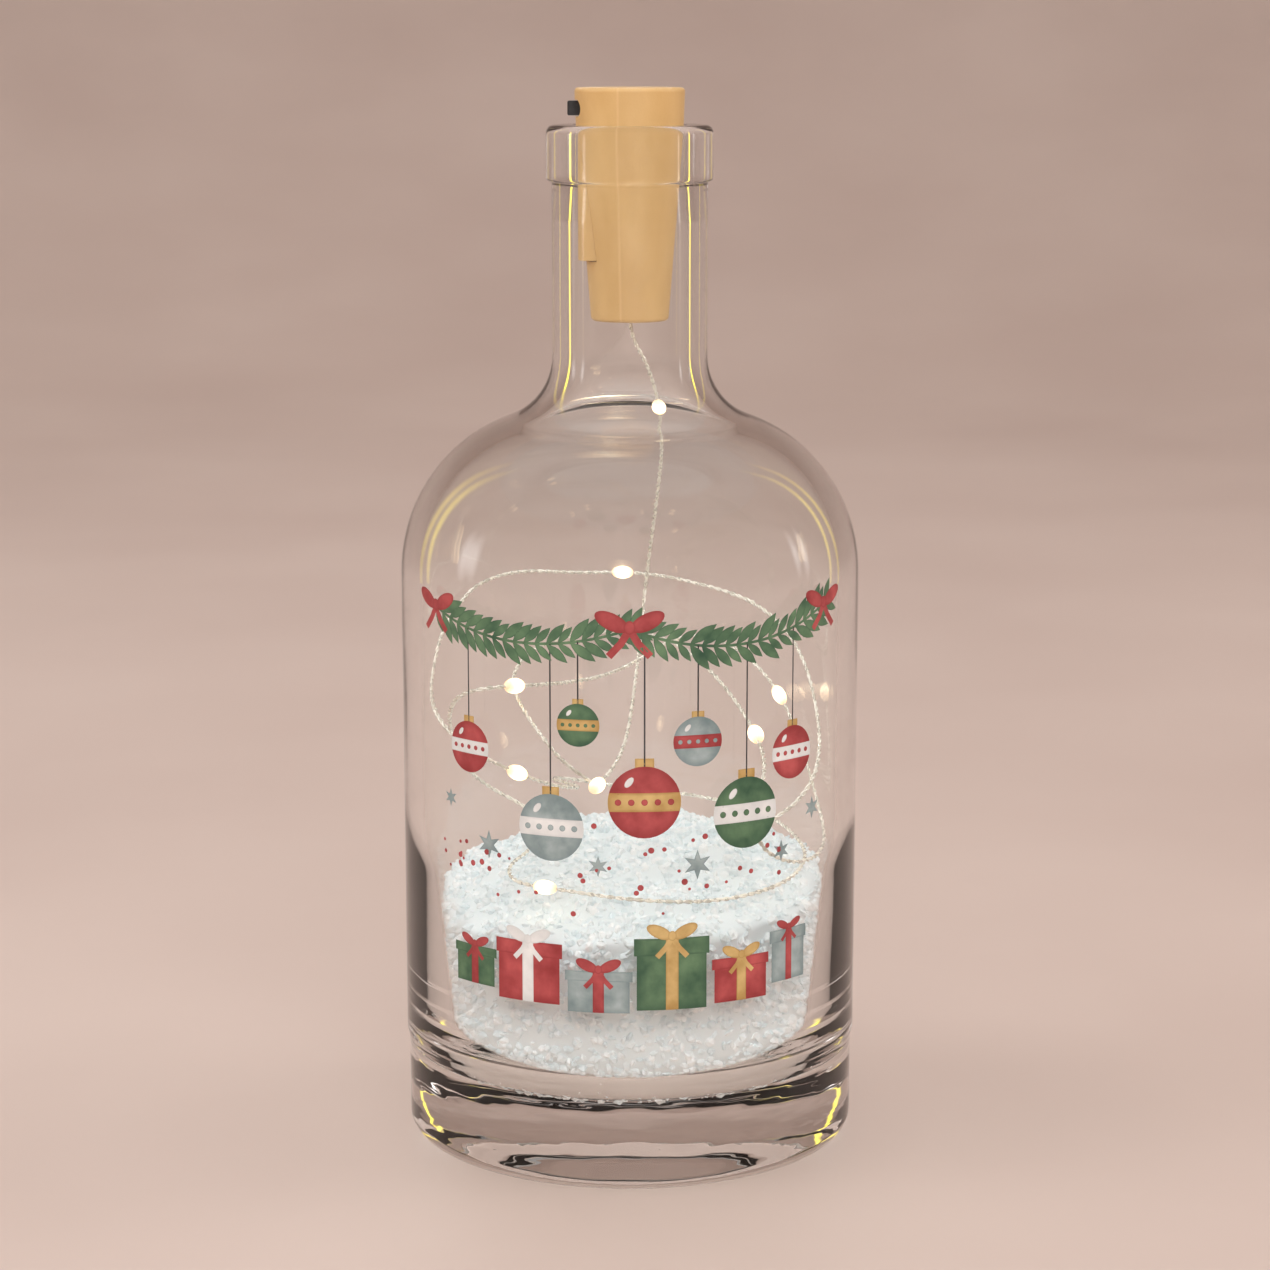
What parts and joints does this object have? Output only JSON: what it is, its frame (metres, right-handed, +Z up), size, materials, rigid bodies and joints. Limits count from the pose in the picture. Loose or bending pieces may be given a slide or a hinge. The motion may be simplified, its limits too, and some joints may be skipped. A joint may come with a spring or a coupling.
{
  "type": "cork bottle light",
  "caption": "Clear glass bottle with loose snow and a wired light string inside, closed by a tapered stopper that holds button cells and a slide switch.",
  "frame": {"origin": "centre of the plane that the bottle stands on", "axes": "+Z up along the bottle, -Y to the printed front, -X to the switch"},
  "size_m": [0.084, 0.084, 0.193],
  "materials": {
    "clear_glass": "clear, smooth, thick base",
    "snow": "white granules",
    "stopper_plastic": "moulded, cork coloured",
    "cell_steel": "bright",
    "contact_steel": "plated sheet",
    "contact_brass": "stamped",
    "board": "laminate",
    "switch_black": "moulded, black",
    "silver_wire": "bare twisted wire",
    "clear_resin": "set glue",
    "lit_resin": "clear drop, lit warm white",
    "lit_chip": "phosphor, lit"
  },
  "bodies": {
    "bottle": {"bottle": "clear_glass", "snow_fill": "snow", "string_drop": "silver_wire", "string_loops": "silver_wire", "led_beads": "lit_resin", "led_chips": "lit_chip"},
    "sleeve": {"stopper_sleeve": "stopper_plastic"},
    "head_unit": {"stopper_head": "stopper_plastic", "battery_tray": "stopper_plastic", "button_cell_1": "cell_steel", "button_cell_2": "cell_steel", "button_cell_3": "cell_steel", "negative_contact": "contact_steel", "positive_contact": "contact_steel", "circuit_board": "board", "chip_resistor": "switch_black", "switch_shell": "contact_steel", "switch_base": "switch_black", "switch_terminals": "contact_brass", "lead_wire": "silver_wire", "lead_glue": "clear_resin"},
    "slider": {"switch_knob": "switch_black", "switch_wiper": "contact_brass"}
  },
  "joints": [
    {"name": "stopper_lift", "type": "slide", "parent": "bottle", "child": "sleeve", "axis": [0, 0, 1], "range_m": [0, 0.038], "deforming": ["string_drop"]},
    {"name": "holder_pull", "type": "slide", "parent": "sleeve", "child": "head_unit", "axis": [0, 0, 1], "range_m": [0, 0.026]},
    {"name": "switch_slide", "type": "slide", "parent": "head_unit", "child": "slider", "axis": [0, -1, 0], "range_m": [0, 0.002]}
  ]
}
